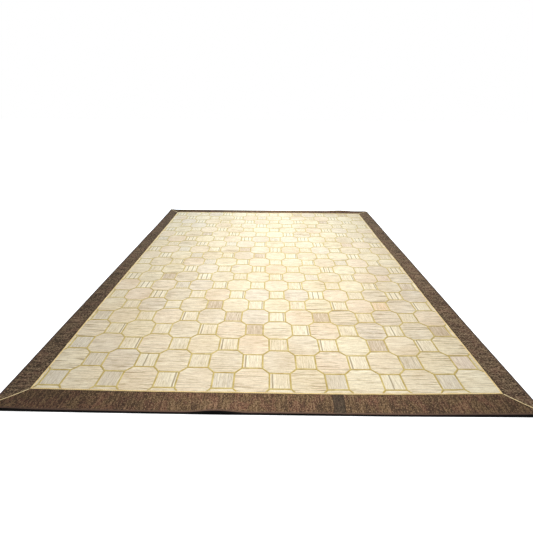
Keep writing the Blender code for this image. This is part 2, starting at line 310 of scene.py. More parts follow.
def bow_at(x, y):
    """How far a point has crept towards the viewer, most of all at the middle of the front seam."""
    middle = max(0.0, 1.0 - (x / SEAM_X) ** 2)
    past_seam = (-SEAM_Y - y) / (-CORNERS[0][4] - SEAM_Y)
    if past_seam > 0.0:
        amount = SEAM_BOW + (EDGE_BOW - SEAM_BOW) * min(1.0, past_seam)
    else:
        amount = SEAM_BOW * max(0.0, 1.0 - (y + SEAM_Y) / BOW_REACH) ** 2
    return middle * amount


def lie_by_hand(point):
    """Move a point of the flat drawing to where it lies."""
    x, y, z = point
    across = x * WAVE_PER_METRE
    along = y * WAVE_PER_METRE
    wave_x = noise.noise(Vector((across, along, 4.2))) * WAVE_SIZE
    wave_y = noise.noise(Vector((across, along, 9.7))) * WAVE_SIZE
    laid = Vector((x + wave_x, y + wave_y - bow_at(x, y), z + lift_at(x, y)))
    return laid + DRAWING_ORIGIN


def round_corner(point):
    """Draw the rug's square corners in to a quarter circle, along lines from its centre."""
    x, y, z = point
    for name, side_x, side_y, outer_x, outer_y, *_ in CORNERS:
        centre_x = outer_x - side_x * CORNER_RADIUS
        centre_y = outer_y - side_y * CORNER_RADIUS
        right = (x - centre_x) * side_x
        up = (y - centre_y) * side_y
        if right > 0.0 and up > 0.0:
            share = max(right, up) / math.hypot(right, up)
            return Vector((centre_x + side_x * right * share, centre_y + side_y * up * share, z))
    return Vector((x, y, z))


def settle(piece):
    """Lay a finished flat piece down."""
    for vertex in piece.data.vertices:
        vertex.co = lie_by_hand(round_corner(vertex.co))
    piece.data.update()


print("lift of the wave at the front:", round(lift_at(-0.262, -1.93) * 1000, 1), "mm")

# %% [markdown]
# ## Helpers for the hand
#
# In edit mode an operator works on what is selected, so most steps are "select these, then do
# that". `edit` opens one piece with nothing selected, and `pick` selects the points, edges or faces
# that pass a test on their place. `grid` lays down a new flat piece, which is only ever a start.

# %% Helpers for selecting and starting a piece
def close_edit():
    """Leave edit mode, with nothing selected."""
    if bpy.context.object and bpy.context.object.mode == "EDIT":
        bpy.ops.object.mode_set(mode="OBJECT")
    bpy.ops.object.select_all(action="DESELECT")


def turn_to(piece):
    """Make one piece the only selected one, and the active one."""
    close_edit()
    piece.select_set(True)
    bpy.context.view_layer.objects.active = piece


def edit(piece, kind="FACE"):
    """Open one piece in edit mode, to work on its VERT, EDGE or FACE parts, with none selected."""
    turn_to(piece)
    bpy.ops.object.mode_set(mode="EDIT")
    bpy.ops.mesh.select_mode(type=kind)
    bpy.ops.mesh.select_all(action="DESELECT")


def pick(piece, parts, test):
    """Select the "verts", "edges" or "faces" of an open piece that pass a test. Says how many."""
    body = bmesh.from_edit_mesh(piece.data)
    bpy.ops.mesh.select_all(action="DESELECT")
    found = [part for part in getattr(body, parts) if test(part)]
    for part in found:
        part.select_set(True)
    bmesh.update_edit_mesh(piece.data)
    return len(found)


def grid(name, middle, ahead, length, width, columns, rows, height=0.0):
    """A flat grid of that length and width, with its length along a direction."""
    close_edit()
    turn = math.atan2(ahead.y, ahead.x)
    bpy.ops.mesh.primitive_grid_add(x_subdivisions=columns, y_subdivisions=rows, size=1,
                                    location=(*middle, height), rotation=(0, 0, turn))
    piece = bpy.context.object
    piece.name = name
    piece.data.name = name
    piece.scale = (length, width, 1)
    bpy.ops.object.transform_apply(location=True, rotation=True, scale=True)
    return piece


def take_all():
    """Select all of the open piece."""
    bpy.ops.mesh.select_all(action="SELECT")


def inset_each(thickness, depth=0.0):
    """Inset every selected face by itself, and raise or lower what is inside."""
    bpy.ops.mesh.inset(thickness=thickness, depth=depth, use_individual=True)


def push(height):
    """Push what is selected up or down, with walls behind it."""
    bpy.ops.mesh.extrude_region_move(TRANSFORM_OT_translate={"value": (0, 0, height)})


def face_outwards():
    """Turn all faces of the open piece outwards, and close it."""
    take_all()
    bpy.ops.mesh.normals_make_consistent(inside=False)
    close_edit()


def thicken(piece, height):
    """Push a flat piece up into a closed one."""
    edit(piece)
    take_all()
    push(height)
    face_outwards()


def count(piece):
    """Say how large a finished piece is."""
    triangles = sum(len(face.vertices) - 2 for face in piece.data.polygons)
    print(piece.name, "has", triangles, "triangles")


# %% [markdown]
# ## The joins of the patchwork
#
# The pattern looks hard to draw, but it is a plain square grid in disguise. Every other cell is
# inset, which leaves a small square inside it and four slanting edges to its corners. Dissolving
# the old grid lines joins the slanting parts to the cells beside them, and dissolving the old
# crossings straightens what is left: the small squares stay, and the rest have become octagons.
# The lines are then cut into short lengths and nudged, because hand sewing wanders by a millimetre.

# %% Draw the grid and inset every other cell
rows_length = ROWS * PATCH_PITCH
rows_middle = FRONT_MARGIN - SEAM_Y + rows_length / 2
joins = grid("joins", (0, rows_middle), Vector((1, 0)), 2 * SEAM_X, rows_length, COLUMNS, ROWS, CLOTH)


def in_cells(point):
    """How many cells a point is from the front left corner of the grid, in x and in y."""
    return (point.x + SEAM_X) / PATCH_PITCH, (point.y + SEAM_Y - FRONT_MARGIN) / PATCH_PITCH


def cell_of(point):
    """The column and row of the grid that a point is in."""
    return tuple(math.floor(cells) for cells in in_cells(point))


def in_square_cell(face):
    """True for a face in a cell that has a small square."""
    column, row = cell_of(face.calc_center_median())
    return (column + row) % 2 == 0


edit(joins)
print("cells:", len(joins.data.polygons), "squares:", pick(joins, "faces", in_square_cell))
inset_each(SQUARE_INSET)

# %% Dissolve the old lines, then the old crossings
CLOSE_IN_CELLS = 0.01


def on_crossing(vertex):
    """True for a point where lines of the first grid cross."""
    return all(abs(cells - round(cells)) < CLOSE_IN_CELLS for cells in in_cells(vertex.co))


def on_old_line(line):
    """True for a line of the first grid inside the ground."""
    return not line.is_boundary and all(on_crossing(vertex) for vertex in line.verts)


bpy.ops.mesh.select_mode(type="EDGE")
print("old lines:", pick(joins, "edges", on_old_line))
bpy.ops.mesh.dissolve_edges(use_verts=False)
bpy.ops.mesh.select_mode(type="VERT")
print("old crossings:", pick(joins, "verts",
                             lambda vertex: on_crossing(vertex) and not vertex.is_boundary))
bpy.ops.mesh.dissolve_verts()
close_edit()
print("patches:", len(joins.data.polygons))

# %% Fit the rim to the seams, and let the lines wander
JOIN_STEP = 0.021
SEWING_WANDER = 0.0013
SEWING_PER_METRE = 11.0
SEWN_TIGHT = 0.009
TIGHT_FROM = 0.25
TIGHT_OVER = 1.0
side_rim = SEAM_X - SEAM_CORD_WIDTH / 2 - GAP
end_rim = SEAM_Y - SEAM_CORD_WIDTH / 2 - GAP
front_row = FRONT_MARGIN - SEAM_Y
back_row = front_row + rows_length


def sewn_x(x):
    """Where a join really falls: the columns at the right were sewn a little tight."""
    share = min(1.0, max(0.0, (x - TIGHT_FROM) / TIGHT_OVER))
    return x - SEWN_TIGHT * share * share * (3 - 2 * share)


for vertex in joins.data.vertices:
    if abs(abs(vertex.co.x) - SEAM_X) < 0.001:
        vertex.co.x = math.copysign(side_rim, vertex.co.x)
    else:
        vertex.co.x = sewn_x(vertex.co.x)
    if abs(vertex.co.y - front_row) < 0.001:
        vertex.co.y = -end_rim
    if abs(vertex.co.y - back_row) < 0.001:
        vertex.co.y = end_rim

edit(joins, "EDGE")
body = bmesh.from_edit_mesh(joins.data)
for pieces in range(2, 9):
    cuts = [line for line in body.edges
            if pieces - 0.5 <= line.calc_length() / JOIN_STEP < pieces + 0.5]
    bmesh.ops.bisect_edges(body, edges=cuts, cuts=pieces - 1)
for vertex in body.verts:
    if not vertex.is_boundary:
        place = vertex.co * SEWING_PER_METRE
        vertex.co.x += noise.noise(Vector((place.x, place.y, 1.7))) * SEWING_WANDER
        vertex.co.y += noise.noise(Vector((place.x, place.y, 6.1))) * SEWING_WANDER
bmesh.update_edit_mesh(joins.data)
close_edit()
print("points along the joins:", len(joins.data.vertices))

# %% [markdown]
# ## Which cloth goes where
#
# The octagons are all much the same old cream, each a little warmer or greyer than the next.
# The small squares come from more pieces: plain grey or cream, a pinkish or brownish one here and
# there, and in every other one along a row a thin stripe or two between paler bands. The six rows
# nearest the viewer are written as letters, one for each square from left to right, and one square
# was sewn in a quarter turn round. The rows behind them are left to a seeded random draw.

# %% Choose a cloth for every patch
def dyed(red, green, blue):
    """A colour named as a screen shows it, 0 to 255, in the linear values that a shader uses."""
    shares = [value / 255 for value in (red, green, blue)]
    return [share / 12.92 if share <= 0.04045 else ((share + 0.055) / 1.055) ** 2.4
            for share in shares]


def blended(first, second, share):
    """A colour between two others."""
    return [one + (two - one) * share for one, two in zip(first, second)]


SQUARE_CHART = ("ggrglgmg", "gmclclgp", "grclcltl", "rcltrcmt", "gcltrtcc", "cltrclol")
TURNED_SQUARE = (3, 5)
SQUARE_CLOTHS = {
    "g": dyed(220, 210, 191),
    "c": dyed(228, 216, 190),
    "p": dyed(226, 210, 192),
    "t": dyed(209, 192, 169),
    "o": dyed(231, 208, 176),
    "l": dyed(231, 219, 193),
    "m": dyed(230, 219, 193),
    "r": dyed(231, 220, 194),
    "d": dyed(231, 220, 194),
}
NO_STRIPE = 9.0
STRIPE_PLACES = {
    # how far a square's stripes are from its middle
    "l": (-0.045, NO_STRIPE),
    "m": (-0.008, NO_STRIPE),
    "r": (0.047, NO_STRIPE),
    "d": (-0.026, 0.020),
}
CREAM = dyed(230, 217, 190)
WARM_CREAM = dyed(231, 213, 189)
GREY_CREAM = dyed(223, 211, 193)
PALE_CREAM = dyed(236, 225, 197)
choices = random.Random(21)


def choose_square(column, row):
    """The letter of the cloth in one small square."""
    drawn = choices.choice("drd") if (column + row) % 4 == 0 else choices.choice("ggcccccpt")
    if row < len(SQUARE_CHART):
        return SQUARE_CHART[row][column // 2]
    return drawn


def choose_octagon():
    """The colour of one octagon."""
    leaning = choices.choice((WARM_CREAM, GREY_CREAM, PALE_CREAM))
    return blended(CREAM, leaning, choices.random() * 0.9)


patches = []
for face in joins.data.polygons:
    column, row = cell_of(face.center)
    middle = Vector((sewn_x((column + 0.5) * PATCH_PITCH - SEAM_X),
                     (row + 0.5) * PATCH_PITCH - SEAM_Y + FRONT_MARGIN, 0.0))
    patch = {"middle": middle, "lot": choices.random() * 50, "streaks": 0.35 + 0.65 * choices.random(),
             "stripe": NO_STRIPE, "second_stripe": NO_STRIPE, "upright": False, "square": False}
    if (column + row) % 2 == 1:
        patch["tint"] = choose_octagon()
    elif (face.center - middle).xy.length < 0.01:
        letter = choose_square(column, row)
        patch["tint"] = SQUARE_CLOTHS[letter]
        patch["stripe"], patch["second_stripe"] = STRIPE_PLACES.get(letter, (NO_STRIPE, NO_STRIPE))
        patch["upright"] = (column, row) != TURNED_SQUARE
        patch["square"] = True
        patch["streaks"] *= 0.35
    else:
        patch["tint"] = blended(CREAM, PALE_CREAM, choices.random())
        patch["streaks"] *= 0.4
    patches.append(patch)

patch_number = joins.data.attributes.new("patch", "INT", "FACE")
patch_number.data.foreach_set("value", range(len(patches)))
print("squares:", sum(patch["square"] for patch in patches),
      "with a stripe:", sum(patch["stripe"] < NO_STRIPE for patch in patches))

# %% [markdown]
# ## The patches
#
# Each patch is its own bit of cloth. Sewing pulls its edge down under the yarn, and the middle
# stays a little proud. Two individual insets give every face a ring to slope and a flat
# top, whatever its shape. Then the rim is pushed down to the floor and closed underneath,
# which makes the whole ground one closed sheet.

# %% Dome the patches and close the sheet
UNDER_YARN = 0.0034
SLOPE = 0.007
NARROW_SLOPE = 0.0024
TO_THE_TOP = 0.009
PULLED_DOWN = 0.0007
CROWN = 0.0004
SMALLEST_SQUARE = 0.008


def copy_of(piece, name):
    """A copy of a piece with its own mesh."""
    turn_to(piece)
    bpy.ops.object.duplicate()
    copied = bpy.context.object
    copied.name = name
    copied.data.name = name
    return copied


patchwork = copy_of(joins, "patchwork")
edit(patchwork)
take_all()
inset_each(UNDER_YARN)
inner = {face.index for face in bmesh.from_edit_mesh(patchwork.data).faces if face.select}
print("whole patches:", pick(patchwork, "faces", lambda face: face.index in inner
                             and face.calc_area() > SMALLEST_SQUARE))
inset_each(SLOPE, PULLED_DOWN)
inset_each(TO_THE_TOP, CROWN)
print("narrow ones at the rim:", pick(patchwork, "faces", lambda face: len(face.verts) > 4
                                      and face.calc_area() < SMALLEST_SQUARE / 2))
inset_each(NARROW_SLOPE, PULLED_DOWN)
take_all()
bpy.ops.transform.translate(value=(0, 0, -PULLED_DOWN))

# %% Close the sheet underneath
edit(patchwork, "EDGE")
print("rim lines:", pick(patchwork, "edges", lambda line: line.is_boundary))
push(PULLED_DOWN - CLOTH)
bpy.ops.mesh.edge_face_add()
face_outwards()
count(patchwork)

# %% [markdown]
# The threads of an octagon run across the rug and those of a small square run along it. The
# UV map says so: it holds each point's place in its own patch, in metres, with the first number
# along the threads. A shader that reads it turns the grain with the patch. The cloth chosen for
# the patch is painted on as attributes, which go with the mesh wherever it goes.

# %% Give every patch its threads and its colour
def thread_map(piece):
    """An empty UV map for the run of a piece's threads, in metres."""
    while piece.data.uv_layers:
        piece.data.uv_layers.remove(piece.data.uv_layers[0])
    return piece.data.uv_layers.new(name="threads")


thread_map(patchwork)
patchwork.data.color_attributes.new("tint", "FLOAT_COLOR", "CORNER")
NUMBERS = ("lot", "streaks", "stripe", "second_stripe")
for name in NUMBERS:
    patchwork.data.attributes.new(name, "FLOAT", "FACE")
layers = patchwork.data.attributes
for face in patchwork.data.polygons:
    patch = patches[layers["patch"].data[face.index].value]
    for name in NUMBERS:
        layers[name].data[face.index].value = patch[name]
    for corner in face.loop_indices:
        place = patchwork.data.vertices[patchwork.data.loops[corner].vertex_index].co
        offset = place - patch["middle"]
        along, across = (offset.y, offset.x) if patch["upright"] else (offset.x, offset.y)
        layers["threads"].data[corner].vector = (along, across)
        layers["tint"].data[corner].color = (*patch["tint"], 1.0)
settle(patchwork)
print("attributes:", [layer.name for layer in patchwork.data.attributes][:12])

# %% [markdown]
# ## The yarn over the joins
#
# Mustard yarn is worked over every join, close enough to read as one raised line. It is cut from
# the same joins: two insets from both sides of each line, the second one going down, leave a
# strip of four faces across that is round on top. The rest of every patch is deleted, and so is
# the strip along the outer rim, where a cord covers the seam instead. An extrusion then gives the
# strip a back, so that it is closed all round.

# %% Cut the yarn out of the joins
YARN_HALF = 0.0054
YARN_SHOULDER = 0.0027
YARN_RISE = 0.0013
YARN_BACK = 0.0011
RIM_STRIP = 0.0042
yarn = copy_of(joins, "yarn_over_joins")
edit(yarn)
take_all()
bpy.ops.transform.translate(value=(0, 0, YARN_RISE))
inset_each(YARN_SHOULDER, -0.0002)
inset_each(YARN_HALF - YARN_SHOULDER, -0.0011)
bpy.ops.mesh.delete(type="FACE")


def beside_rim(face):
    """True for a face of the strip along the outer rim."""
    place = face.calc_center_median()
    return min(side_rim - abs(place.x), end_rim - abs(place.y)) < RIM_STRIP


print("faces along the rim:", pick(yarn, "faces", beside_rim))
bpy.ops.mesh.delete(type="FACE")
take_all()
push(-YARN_BACK)
face_outwards()
count(yarn)

# %% Run the yarn's threads along its lines
def line_of(face, piece):
    """The direction of the join that a face lies along: across, along or slanting."""
    ends = [piece.data.vertices[number].co.xy for number in face.vertices]
    sides = [ends[number] - ends[number - 1] for number in range(len(ends))]
    longest = max(sides, key=lambda side: side.length)
    eighth = round(math.atan2(longest.y, longest.x) / (math.pi / 4))
    return Vector((math.cos(eighth * math.pi / 4), math.sin(eighth * math.pi / 4)))


twist = thread_map(yarn)
for face in yarn.data.polygons:
    ahead = line_of(face, yarn)
    for corner in face.loop_indices:
        place = yarn.data.vertices[yarn.data.loops[corner].vertex_index].co
        twist.data[corner].uv = (place.xy.dot(ahead), place.y * ahead.x - place.x * ahead.y)
settle(yarn)
bpy.data.objects.remove(joins)

# %% [markdown]
# ## The border
#
# The border is one long strip to a side, woven in thick ribs that run across it. A grid of narrow
# columns makes ribs possible: two columns to a rib, with every point lifted along a sine wave.
# The rows are moved to where they are needed, close together at the turned outer edge and wide
# apart between. The ends are cut with a bisecting plane along the slanting corner seams. The front
# strip is in three lengths, because a short piece of greyer cloth was let into it.

# %% The four sides
SIDES = {
    # name: outwards, the corners at its start and end
    "front": (Vector((0, -1)), 0, 1),
    "right": (Vector((1, 0)), 1, 2),
    "back": (Vector((0, 1)), 2, 3),
    "left": (Vector((-1, 0)), 3, 0),
}


def axes(side):
    """The directions along a side and outwards from it."""
    out = SIDES[side][0]
    return Vector((-out.y, out.x)), out


def seam_at(side):
    """How far a side's seam is from the middle of the rug."""
    return SEAM_Y if side in ("front", "back") else SEAM_X


def edge_at(side, along):
    """How far the outer edge is from the middle of the rug, at a place along a side."""
    ahead, out = axes(side)
    first, last = (Vector(CORNERS[number][3:5]) for number in SIDES[side][1:])
    share = (along - first.dot(ahead)) / (last - first).dot(ahead)
    return first.dot(out) + (last - first).dot(out) * share


def cut_line(corner, shift, diagonal=False):
    """A corner's slanting seam, or its diagonal, shifted sideways: a point and a direction."""
    start = Vector((corner[1] * SEAM_X, corner[2] * SEAM_Y))
    direction = (Vector(corner[1:3]) if diagonal else Vector(corner[5:7]) - start).normalized()
    return start + Vector((-direction.y, direction.x)) * shift, direction


def trim(piece, cut, kept):
    """Cut a flat piece along an upright plane, and keep the side with the kept point."""
    start, direction = cut
    away = Vector((-direction.y, direction.x, 0))
    if (kept - start).dot(away.xy) > 0:
        away.negate()
    edit(piece)
    take_all()
    bpy.ops.mesh.bisect(plane_co=(start.x, start.y, 0), plane_no=away, clear_outer=True)
    close_edit()


for side in SIDES:
    print(side, "strip is about", round(edge_at(side, 0.0) - seam_at(side), 3), "m wide")

# %% Sections of the border, at its seam and at its turned edge
RIB = 0.0075
RIB_HEIGHT = 0.00045
STRIP_SEAM = SEAM_CORD_WIDTH / 2 + GAP
AT_THE_SEAM = (
    # distance from the seam's cord, height of the top, height of the underside
    (0.0000, 0.0032, 0.0004),
    (0.0006, CLOTH, 0.0000),
)
AT_THE_EDGE = (
    # distance in from the rug's edge, height of the top, height of the underside
    (0.0000, 0.0042, 0.0018),
    (0.0007, 0.0056, 0.0006),
    (0.0022, 0.0066, 0.0000),
    (0.0045, 0.0070, 0.0000),
    (0.0100, 0.0069, 0.0000),
    (0.0150, 0.0062, 0.0000),
    (0.0180, 0.0050, 0.0000),
    (0.0205, CLOTH, 0.0000),
)
BETWEEN = (0.06, 0.24, 0.42, 0.60, 0.78)


def row_places(side, along):
    """How far each row of a strip is from the middle of the rug, from the seam outwards."""
    inside = seam_at(side) + STRIP_SEAM
    outside = edge_at(side, along)
    places = [inside + distance for distance, *_ in AT_THE_SEAM]
    places += [inside + (outside - inside) * share for share in BETWEEN]
    return places + [outside - distance for distance, *_ in reversed(AT_THE_EDGE)]


def height_of(section, column, distance):
    """A section's height at a distance, read between its rows."""
    for near, far in zip(section, section[1:]):
        if distance < far[0]:
            share = max(0.0, distance - near[0]) / (far[0] - near[0])
            return near[column] + (far[column] - near[column]) * share
    return section[-1][column]


def in_from_edge(point):
    """How far a point of the flat drawing is in from the nearest outer edge of the rug."""
    return min(edge_at(side, point.xy.dot(axes(side)[0])) - point.xy.dot(axes(side)[1])
               for side in SIDES)


print("rows to a strip:", len(row_places("front", 0.0)))

# %% Weave one strip
FLAT_WIDTH = 0.15
UNDER = -0.02
CORD_SHADOW_REACH = 0.009
RIBS_FROM_EDGE = 0.018
RIBS_GROW_OVER = 0.006
RIBS_FROM_SEAM = 0.003


def weave(name, side, first, last, cuts):
    """One closed strip of the border between its cuts, still flat."""
    ahead, out = axes(side)
    middle = ahead * (first + last) / 2 + out * seam_at(side)
    rows = len(row_places(side, 0.0)) - 1
    strip = grid(name, middle, ahead, last - first, FLAT_WIDTH,
                 round((last - first) / RIB * 2), rows)
    for vertex in strip.data.vertices:
        along = vertex.co.xy.dot(ahead)
        row = round(((vertex.co.xy.dot(out) - seam_at(side)) / FLAT_WIDTH + 0.5) * rows)
        place = ahead * along + out * row_places(side, along)[row]
        vertex.co = (place.x, place.y, 0)
    kept = middle + out * FLAT_WIDTH / 2
    for cut in cuts:
        trim(strip, cut, kept)
    thicken(strip, CLOTH)
    return strip


def shape(strip, side):
    """Give a closed flat strip its turned edge, its ribs and its thread map."""
    ahead, out = axes(side)
    # A mask for painted shadow beside the seam cord: 1 at the seam, falling to 0 over the next 9 mm
    strip.data.attributes.new("painted_cord_shadow", "FLOAT", "POINT")
    threads = thread_map(strip)
    for corner in strip.data.loops:
        place = strip.data.vertices[corner.vertex_index].co
        inward = in_from_edge(place)
        if place.z < CLOTH / 2:
            inward = UNDER - inward
        threads.data[corner.index].uv = (place.xy.dot(ahead), inward)
    for vertex in strip.data.vertices:
        along = vertex.co.xy.dot(ahead)
        inward = in_from_edge(vertex.co)
        from_seam = vertex.co.xy.dot(out) - seam_at(side) - STRIP_SEAM
        strip.data.attributes["painted_cord_shadow"].data[vertex.index].value = 1 - from_seam / CORD_SHADOW_REACH
        column = 1 if vertex.co.z > CLOTH / 2 else 2
        height = height_of(AT_THE_EDGE, column, inward)
        if from_seam < AT_THE_SEAM[-1][0]:
            height = height_of(AT_THE_SEAM, column, from_seam)
        elif column == 1:
            ribbed = min(1.0, max(0.0, (inward - RIBS_FROM_EDGE) / RIBS_GROW_OVER),
                         from_seam / RIBS_FROM_SEAM)
            height += math.sin(2 * math.pi * along / RIB) * RIB_HEIGHT * ribbed
        vertex.co.z = height


print("columns to a metre of strip:", round(2 / RIB))

# %% Make the six strips
ASIDE = MITRE_CORD_WIDTH / 2 + GAP
INSERT_LEFT_X = (0.378, 0.366)
INSERT_RIGHT_X = (0.443, 0.429)
OVERLONG = 0.2
SPARE = 0.01
front_left, front_right, back_right, back_left = CORNERS


def edge_cut(side):
    """A cut along the rug's outer edge on one side."""
    first, last = (Vector(CORNERS[number][3:5]) for number in SIDES[side][1:])
    return first, (last - first).normalized()


def insert_cut(places, shift):
    """A cut through the front strip, from its place at the seam to its place at the edge."""
    start = Vector((places[0], -SEAM_Y))
    end = Vector((places[1], CORNERS[0][4]))
    return start + Vector((shift, 0)), (end - start).normalized()


STRIPS = (
    # the solid, its side, where its grid starts and ends along the side, the cuts at its ends
    ("border_front_left", "front", -SEAM_X - OVERLONG, max(INSERT_LEFT_X) + SPARE,
     (cut_line(front_left, ASIDE), edge_cut("left"), insert_cut(INSERT_LEFT_X, -GAP / 2))),
    ("border_insert", "front", min(INSERT_LEFT_X) - SPARE, max(INSERT_RIGHT_X) + SPARE,
     (insert_cut(INSERT_LEFT_X, GAP / 2), insert_cut(INSERT_RIGHT_X, -GAP / 2))),
    ("border_front_right", "front", min(INSERT_RIGHT_X) - SPARE, SEAM_X + OVERLONG,
     (insert_cut(INSERT_RIGHT_X, GAP / 2), edge_cut("right"), cut_line(front_right, -ASIDE))),
    ("border_right", "right", -SEAM_Y - OVERLONG, SEAM_Y + OVERLONG,
     (cut_line(front_right, ASIDE), cut_line(back_right, -ASIDE))),
    ("border_back", "back", -SEAM_X - OVERLONG, SEAM_X + OVERLONG,
     (cut_line(back_right, ASIDE), cut_line(back_left, -ASIDE))),
    ("border_left", "left", -SEAM_Y - OVERLONG, SEAM_Y + OVERLONG,
     (cut_line(back_left, ASIDE), cut_line(front_left, -ASIDE))),
)
strips = {}
for solid, side, first, last, cuts in STRIPS:
    strip = weave(solid.replace("border", "ribbed"), side, first, last, cuts)
    shape(strip, side)
    strip["flat_area"] = sum(face.area for face in strip.data.polygons) / 2
    settle(strip)
    strips[solid] = strip
    count(strip)

# %% [markdown]
# ## The cords
#
# A cord of two plied strands covers each seam of the ground, and a thinner one each slanting
# corner seam. A cord is half round, since it is flat where it lies on the floor. It is another
# long grid, six faces across, with the points lifted onto a half circle and then in or out a
# little along a slanting wave, which is what two strands twisted together look like.

# %% Twist a cord
SEAM_CORD_HEIGHT = 0.0054
MITRE_CORD_HEIGHT = 0.0052
CORD_ROWS = 8
CORD_STEP = 0.0026
TWIST = 0.0125
TWIST_DEPTH = 0.10
TWIST_LEAN = 0.42
ARCH_POWER = 2.4
LOW_SHARE = 0.12


def round_cord(cord, start, ahead, width, height_at):
    """Give a closed flat cord its half round top, its twist and its thread map."""
    across = Vector((-ahead.y, ahead.x))
    threads = thread_map(cord)
    for corner in cord.data.loops:
        offset = cord.data.vertices[corner.vertex_index].co.xy - start
        threads.data[corner.index].uv = (offset.dot(ahead), offset.dot(across))
    for vertex in cord.data.vertices:
        offset = vertex.co.xy - start
        along, sideways = offset.dot(ahead), offset.dot(across) / (width / 2)
        if vertex.co.z < CLOTH / 2:
            continue
        arch = math.sqrt(max(0.0, 1.0 - abs(sideways) ** ARCH_POWER))
        strand = math.sin(2 * math.pi * (along / TWIST + sideways * TWIST_LEAN))
        lump = 1.0 + TWIST_DEPTH * (strand - 1.0) * (0.3 + 0.7 * arch)
        vertex.co.z = height_at(along) * (LOW_SHARE + (1 - LOW_SHARE) * arch) * lump


def seam_cord(side, cuts):
    """The cord over one seam of the ground, cut slanting at both ends."""
    ahead, out = axes(side)
    half = (SEAM_X if side in ("front", "back") else SEAM_Y) + SPARE
    middle = out * seam_at(side)
    cord = grid("cord_" + side, middle, ahead, 2 * half, SEAM_CORD_WIDTH,
                round(2 * half / CORD_STEP), CORD_ROWS)
    for cut in cuts:
        trim(cord, cut, middle)
    thicken(cord, CLOTH)
    round_cord(cord, middle, ahead, SEAM_CORD_WIDTH, lambda along: SEAM_CORD_HEIGHT)
    settle(cord)
    return cord


cords = {}
for side, before, after in (("front", front_left, front_right), ("right", front_right, back_right),
                            ("back", back_right, back_left), ("left", back_left, front_left)):
    cuts = (cut_line(before, GAP / 2, True), cut_line(after, -GAP / 2, True))
    cords["seam_cord_" + side] = seam_cord(side, cuts)
    count(cords["seam_cord_" + side])

# %% Run a thinner cord down each corner seam
OVER_THE_EDGE = (
    # distance in from the rug's outer edge, height of the cord
    (0.0000, 0.0044),
    (0.0025, 0.0064),
    (0.0060, 0.0076),
    (0.0130, 0.0072),
    (0.0210, MITRE_CORD_HEIGHT),
)
STRAIGHT_IN = 0.75
SHORT_OF_EDGE = 0.001
for corner in CORNERS:
    start, ahead = cut_line(corner, 0.0)
    tip = SEAM_CORD_WIDTH / 2 * math.sqrt(2) + GAP * 1.5
    reach = min((corner[3] - start.x) / ahead.x, (corner[4] - start.y) / ahead.y) - SHORT_OF_EDGE
    middle = start + ahead * (tip + reach) / 2
    cord = grid("cord_" + corner[0], middle, ahead, reach - tip, MITRE_CORD_WIDTH,
                round((reach - tip) / CORD_STEP), CORD_ROWS)
    thicken(cord, CLOTH)
    round_cord(cord, start, ahead, MITRE_CORD_WIDTH,
               lambda along: height_of(OVER_THE_EDGE, 1, (reach - along) * STRAIGHT_IN))
    settle(cord)
    cords["mitre_cord_" + corner[0]] = cord
    count(cord)

# %% [markdown]
# ## Cloth and yarn as materials
#
# Wool is matt with a faint bloom where light grazes its hairs, which is what sheen is for. The
# rest of its look is in the threads, so every material here reads the thread map: a noise that is
# stretched along the threads gives streaks, and a sine wave across them gives ribs or the turns
# of a ply. The helpers below keep each recipe to a few lines that read from top to bottom.

# %% Helpers for materials
def start_cloth(name, roughness, sheen):
    """A matt, slightly hairy surface. Gives the material, its tree of nodes and its surface."""
    made = bpy.data.materials.new(name)
    made.use_nodes = True
    surface = made.node_tree.nodes["Principled BSDF"]
    surface.inputs["Roughness"].default_value = roughness
    surface.inputs["Specular IOR Level"].default_value = 0.08
    surface.inputs["Sheen Weight"].default_value = sheen
    surface.inputs["Sheen Roughness"].default_value = 0.55
    return made, made.node_tree, surface


def painted(tree, name, output="Fac"):
    """What an attribute of the mesh says."""
    return node(tree, "ShaderNodeAttribute", attribute_name=name).outputs[output]


def read_threads(tree):
    """The places along and across the threads, in metres."""
    uv = node(tree, "ShaderNodeUVMap", uv_map="threads").outputs["UV"]
    both = node(tree, "ShaderNodeSeparateXYZ", {"Vector": uv}).outputs
    return both["X"], both["Y"]


def streaks(tree, along, across, per_metre_along, per_metre_across, lot=0.0, detail=2.0):
    """A noise from 0 to 1, stretched along the threads. Each lot has streaks of its own."""
    place = node(tree, "ShaderNodeCombineXYZ", {
        "X": reckon(tree, "MULTIPLY", along, per_metre_along),
        "Y": reckon(tree, "MULTIPLY", across, per_metre_across), "Z": lot}).outputs[0]
    return node(tree, "ShaderNodeTexNoise", {"Vector": place, "Scale": 1.0,
                                             "Detail": detail}).outputs[0]


def ripple(tree, place, pitch):
    """A wave from 0 to 1 with one crest to each pitch."""
    turn = reckon(tree, "MULTIPLY", place, 2 * math.pi / pitch)
    return reckon(tree, "MULTIPLY_ADD", reckon(tree, "SINE", turn), 0.5, 0.5)


def layered(tree, colour, layers):
    """A colour with others laid over it, each as strongly as a pattern says."""
    for pattern, low, high, share_low, share_high, *laid in layers:
        colour = mixed(tree, span(tree, pattern, low, high, share_low, share_high), colour, *laid)
    return colour


def emboss(tree, surface, height, depth):
    """Use a height from 0 to 1 as relief, that many metres deep."""
    relief = node(tree, "ShaderNodeBump", {"Height": height, "Distance": depth, "Strength": 1.0})
    tree.links.new(relief.outputs[0], surface.inputs["Normal"])


def dress(piece, material):
    """Give a piece one material."""
    piece.data.materials.clear()
    piece.data.materials.append(material)


# %% [markdown]
# The old cream cloth was woven from yarn of uneven tone, so each patch is streaked along its
# threads, some strongly and some hardly at all. The recipe starts from the patch's own tint,
# darkens it in long streaks, lightens it in others, adds the fine threads, and last lays the thin
# stripes and the paler bands beside them over the squares that have them.

# %% The cream patchwork
cream, tree, surface = start_cloth("old_cream_cloth", 0.92, 0.12)
along, across = read_threads(tree)
tint = painted(tree, "tint", "Color")
lot = painted(tree, "lot")

